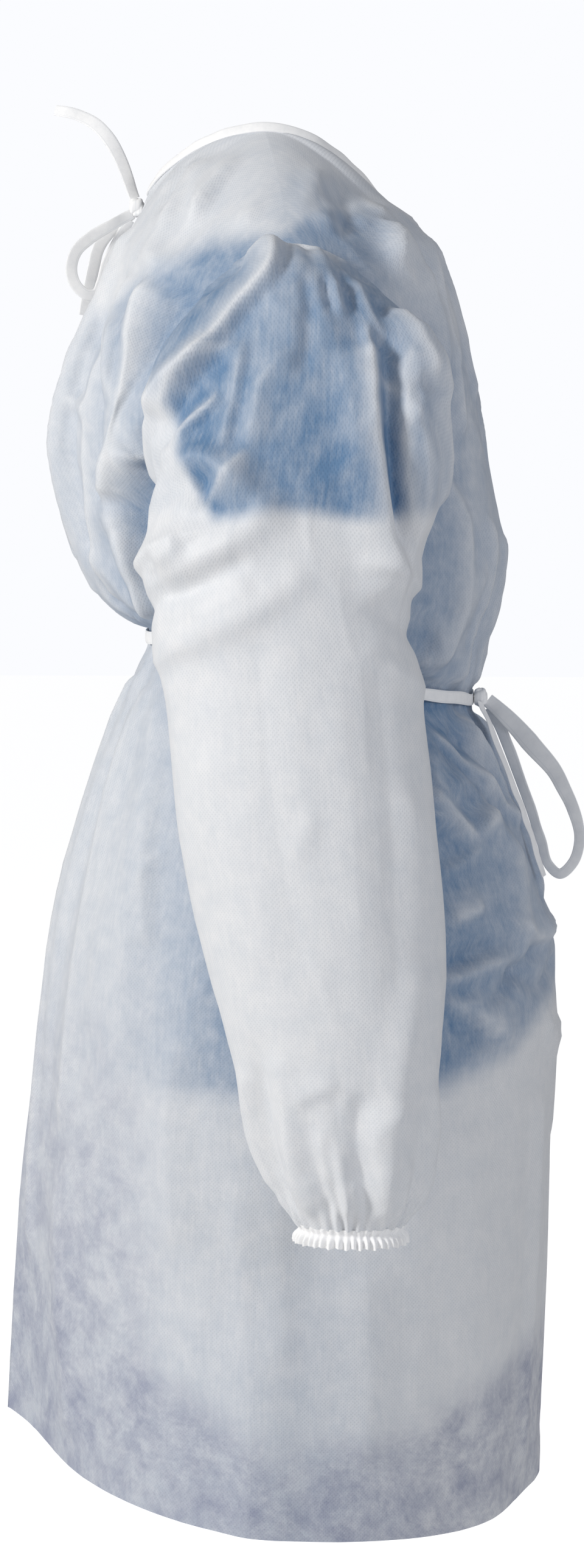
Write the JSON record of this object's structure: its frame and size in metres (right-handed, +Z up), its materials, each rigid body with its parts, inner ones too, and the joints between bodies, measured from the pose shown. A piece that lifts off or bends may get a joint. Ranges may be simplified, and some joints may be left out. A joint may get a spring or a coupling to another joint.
{
  "type": "medical gown",
  "caption": "Open-backed nonwoven medical gown in its worn hollow form, with long gathered sleeves, elastic cuffs, a bound neck tied behind and a waist belt tied in a bow.",
  "frame": {"origin": "middle of the neck opening, level with the points where the neckline meets the shoulder seams", "axes": "+Z up, -Y towards the wearer's front, -X towards the wearer's right"},
  "size_m": [0.6726, 0.4819, 1.128],
  "materials": {
    "nonwoven": "matte, thin and translucent",
    "tape": "matte"
  },
  "bodies": {
    "root": {"front_panel": "nonwoven", "back_panel_right": "nonwoven", "back_panel_left": "nonwoven", "sleeve_right": "nonwoven", "sleeve_left": "nonwoven", "cuff_right": "tape", "cuff_left": "tape", "neck_binding": "tape", "waist_belt": "tape", "neck_knot": "tape", "neck_tie_end_up": "tape", "neck_tie_end_down": "tape", "neck_tie_loop": "tape", "belt_knot": "tape", "belt_bow_loop": "tape", "belt_tie_end": "tape"}
  },
  "joints": []
}
